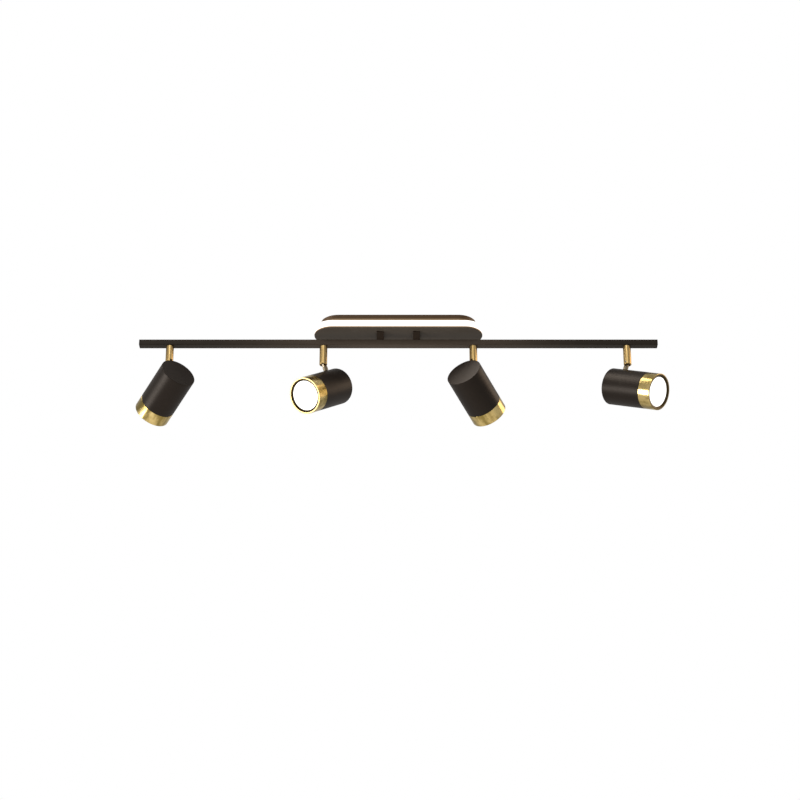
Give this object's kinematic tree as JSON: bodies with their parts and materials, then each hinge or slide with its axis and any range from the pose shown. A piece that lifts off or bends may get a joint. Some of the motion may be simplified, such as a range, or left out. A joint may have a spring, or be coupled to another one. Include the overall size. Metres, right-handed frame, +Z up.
{
  "type": "ceiling spotlight bar",
  "caption": "Ceiling spotlight bar: a slim canopy with a lit band carries a straight bar whose cylindrical lamp heads pan on brass stems and tilt on a pin.",
  "frame": {"origin": "centre of the canopy's flat face on the ceiling", "axes": "+Z up to the ceiling, +X along the bar to the viewer's right, -Y towards the viewer in the room"},
  "size_m": [0.8162, 0.1111, 0.1655],
  "materials": {
    "bronze_paint": "satin bronze paint on the ceiling pan",
    "bronze_plate": "satin bronze paint, lit along the rim by the band",
    "bar_paint": "satin black-brown paint",
    "saddle_paint": "matt dark brown paint",
    "housing_paint": "satin black-brown paint with a soft warm sheen",
    "brass_stem": "satin drawn brass",
    "brass_neck": "satin turned brass",
    "brass_ring": "brushed and lacquered brass",
    "opal_lens": "lit opal diffuser",
    "opal_band": "lit opal diffuser",
    "strip": "light strip on its white tape",
    "steel": "zinc-plated steel",
    "aluminium": "cast aluminium",
    "pale_plastic": "moulded pale plastic"
  },
  "bodies": {
    "fixture": {"ceiling_pan": "bronze_paint", "diffuser_band": "opal_band", "chassis": "steel", "led_strip": "strip", "lower_plate": "bronze_plate", "led_driver": "pale_plastic", "terminal_block": "pale_plastic", "bar": "bar_paint", "canopy_screw_left": "steel", "saddle_bracket_left": "saddle_paint", "saddle_nipple_left": "steel", "saddle_nut_left": "steel", "bar_end_cap_left": "bar_paint", "canopy_screw_right": "steel", "saddle_bracket_right": "saddle_paint", "saddle_nipple_right": "steel", "saddle_nut_right": "steel", "bar_end_cap_right": "bar_paint"},
    "turn_outer_left": {"stem_outer_left": "brass_stem", "stem_nut_outer_left": "steel", "pivot_pin_outer_left": "steel"},
    "head_outer_left": {"neck_outer_left": "brass_neck", "neck_nut_outer_left": "steel", "housing_outer_left": "housing_paint", "rear_cap_outer_left": "housing_paint", "led_module_outer_left": "aluminium", "front_ring_outer_left": "brass_ring", "lens_outer_left": "opal_lens"},
    "turn_inner_left": {"stem_inner_left": "brass_stem", "stem_nut_inner_left": "steel", "pivot_pin_inner_left": "steel"},
    "head_inner_left": {"neck_inner_left": "brass_neck", "neck_nut_inner_left": "steel", "housing_inner_left": "housing_paint", "rear_cap_inner_left": "housing_paint", "led_module_inner_left": "aluminium", "front_ring_inner_left": "brass_ring", "lens_inner_left": "opal_lens"},
    "turn_inner_right": {"stem_inner_right": "brass_stem", "stem_nut_inner_right": "steel", "pivot_pin_inner_right": "steel"},
    "head_inner_right": {"neck_inner_right": "brass_neck", "neck_nut_inner_right": "steel", "housing_inner_right": "housing_paint", "rear_cap_inner_right": "housing_paint", "led_module_inner_right": "aluminium", "front_ring_inner_right": "brass_ring", "lens_inner_right": "opal_lens"},
    "turn_outer_right": {"stem_outer_right": "brass_stem", "stem_nut_outer_right": "steel", "pivot_pin_outer_right": "steel"},
    "head_outer_right": {"neck_outer_right": "brass_neck", "neck_nut_outer_right": "steel", "housing_outer_right": "housing_paint", "rear_cap_outer_right": "housing_paint", "led_module_outer_right": "aluminium", "front_ring_outer_right": "brass_ring", "lens_outer_right": "opal_lens"}
  },
  "joints": [
    {"name": "pan_outer_left", "type": "hinge", "parent": "fixture", "child": "turn_outer_left", "pos_m": [-0.3525, 0, -0.0689], "axis": [0, 0, 1], "range_deg": [-175, 175]},
    {"name": "tilt_outer_left", "type": "hinge", "parent": "turn_outer_left", "child": "head_outer_left", "pos_m": [-0.3525, 0, -0.0689], "axis": [-0.8192, -0.5736, 0], "range_deg": [-25.5, 64.5]},
    {"name": "pan_inner_left", "type": "hinge", "parent": "fixture", "child": "turn_inner_left", "pos_m": [-0.1155, 0, -0.0689], "axis": [0, 0, 1], "range_deg": [-175, 175]},
    {"name": "tilt_inner_left", "type": "hinge", "parent": "turn_inner_left", "child": "head_inner_left", "pos_m": [-0.1155, 0, -0.0689], "axis": [0.766, -0.6428, 0], "range_deg": [-31.5, 58.5]},
    {"name": "pan_inner_right", "type": "hinge", "parent": "fixture", "child": "turn_inner_right", "pos_m": [0.1155, 0, -0.0689], "axis": [0, 0, 1], "range_deg": [-175, 175]},
    {"name": "tilt_inner_right", "type": "hinge", "parent": "turn_inner_right", "child": "head_inner_right", "pos_m": [0.1155, 0, -0.0689], "axis": [-0.8572, 0.515, 0], "range_deg": [-26, 64]},
    {"name": "pan_outer_right", "type": "hinge", "parent": "fixture", "child": "turn_outer_right", "pos_m": [0.3525, 0, -0.0689], "axis": [0, 0, 1], "range_deg": [-175, 175]},
    {"name": "tilt_outer_right", "type": "hinge", "parent": "turn_outer_right", "child": "head_outer_right", "pos_m": [0.3525, 0, -0.0689], "axis": [0.5736, 0.8192, 0], "range_deg": [-22.5, 67.5]}
  ]
}
